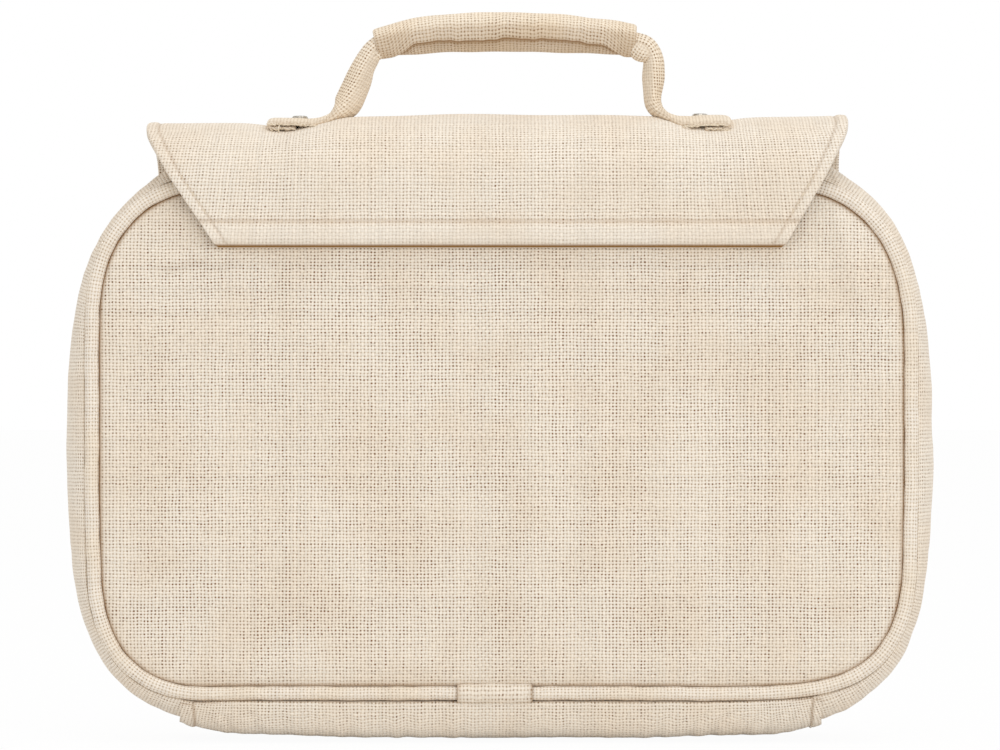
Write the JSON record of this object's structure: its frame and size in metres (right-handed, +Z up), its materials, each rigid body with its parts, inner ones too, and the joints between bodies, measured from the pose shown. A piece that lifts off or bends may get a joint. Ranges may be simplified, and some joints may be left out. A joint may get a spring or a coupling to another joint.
{
  "type": "book bag",
  "caption": "Padded woven book bag with piped edges, rounded corners, a fold-over flap and a wrapped carry handle riveted to the flap.",
  "frame": {"origin": "middle of the underside of the base", "axes": "+X along the bag's width, -Y to the front face with the flap's leaf, +Z up"},
  "size_m": [0.269, 0.0591, 0.225],
  "materials": {
    "linen": "coarse plain weave, matte",
    "piping_linen": "coarse plain weave cut on the bias, matte",
    "handle_linen": "coarse plain weave, matte",
    "lining": "fine cotton twill, matte",
    "foam": "soft sheet padding",
    "filler": "soft cotton cord",
    "board": "grey board",
    "tape": "hook and loop tape",
    "steel": "satin nickel plate"
  },
  "bodies": {
    "case": {"front_panel": "linen", "front_foam": "foam", "front_lining": "lining", "front_piping": "piping_linen", "front_piping_cord": "filler", "front_join_tab": "piping_linen", "back_panel": "linen", "back_foam": "foam", "back_lining": "lining", "back_piping": "piping_linen", "back_piping_cord": "filler", "back_join_tab": "piping_linen", "gusset_left": "linen", "gusset_right": "linen", "gusset_lining": "lining", "base_panel": "linen", "base_board": "board", "loop_strip": "tape", "flap_anchor": "linen"},
    "flap": {"flap_top": "linen", "flap_stiffener": "board", "flap_top_lining": "lining", "handle_foot_left": "handle_linen", "handle_foot_right": "handle_linen", "rivet_cap_left": "steel", "rivet_cap_right": "steel", "rivet_post_left": "steel", "rivet_post_right": "steel"},
    "flap_leaf": {"flap_leaf": "linen", "leaf_interlining": "board", "leaf_lining": "lining", "hook_strip": "tape"},
    "handle": {"handle_strap": "handle_linen", "grip_core": "filler", "grip_sleeve": "handle_linen"}
  },
  "joints": [
    {"name": "flap_hinge", "type": "hinge", "parent": "case", "child": "flap", "pos_m": [0, 0.02874, 0.17], "axis": [-1, 0, 0], "range_deg": [0, 150]},
    {"name": "leaf_fold", "type": "hinge", "parent": "flap", "child": "flap_leaf", "pos_m": [0, -0.0205, 0.18625], "axis": [-1, 0, 0], "range_deg": [0, 75]},
    {"name": "handle_swing", "type": "hinge", "parent": "flap", "child": "handle", "pos_m": [0, 0, 0.195], "axis": [1, 0, 0], "range_deg": [-70, 70]}
  ]
}
